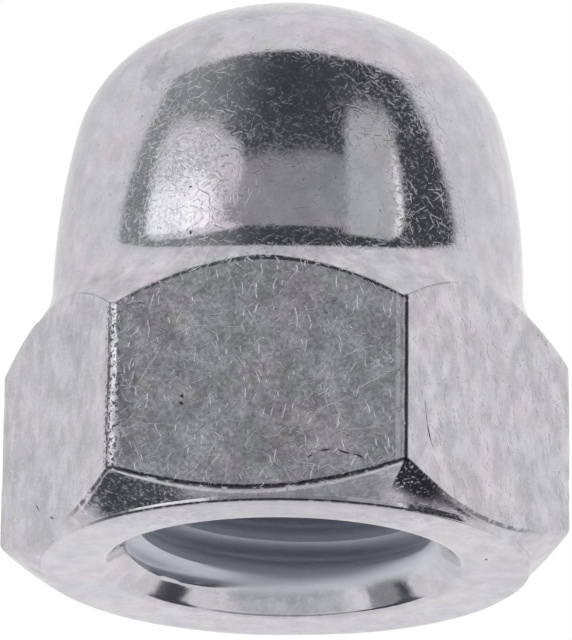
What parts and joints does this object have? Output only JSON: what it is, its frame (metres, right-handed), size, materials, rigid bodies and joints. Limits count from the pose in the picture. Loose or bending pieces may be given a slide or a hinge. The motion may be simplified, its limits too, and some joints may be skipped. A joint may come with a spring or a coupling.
{
  "type": "cap nut",
  "caption": "High domed cap nut: a hexagon nut whose threaded hole is closed by a smooth dome and opens at a countersunk, chamfered bearing face.",
  "frame": {"origin": "centre of the bearing face, on the thread's axis", "axes": "+Z along the thread's axis from the open end to the dome; -Y and +Y are the normals of two opposite flats; +X and -X point at two opposite corners"},
  "size_m": [0.0242, 0.021, 0.0248],
  "materials": {
    "plated_steel": "worn bright zinc plating over steel, blue-white, scratched and lightly pitted"
  },
  "bodies": {
    "root": {"cap_nut": "plated_steel"}
  },
  "joints": []
}
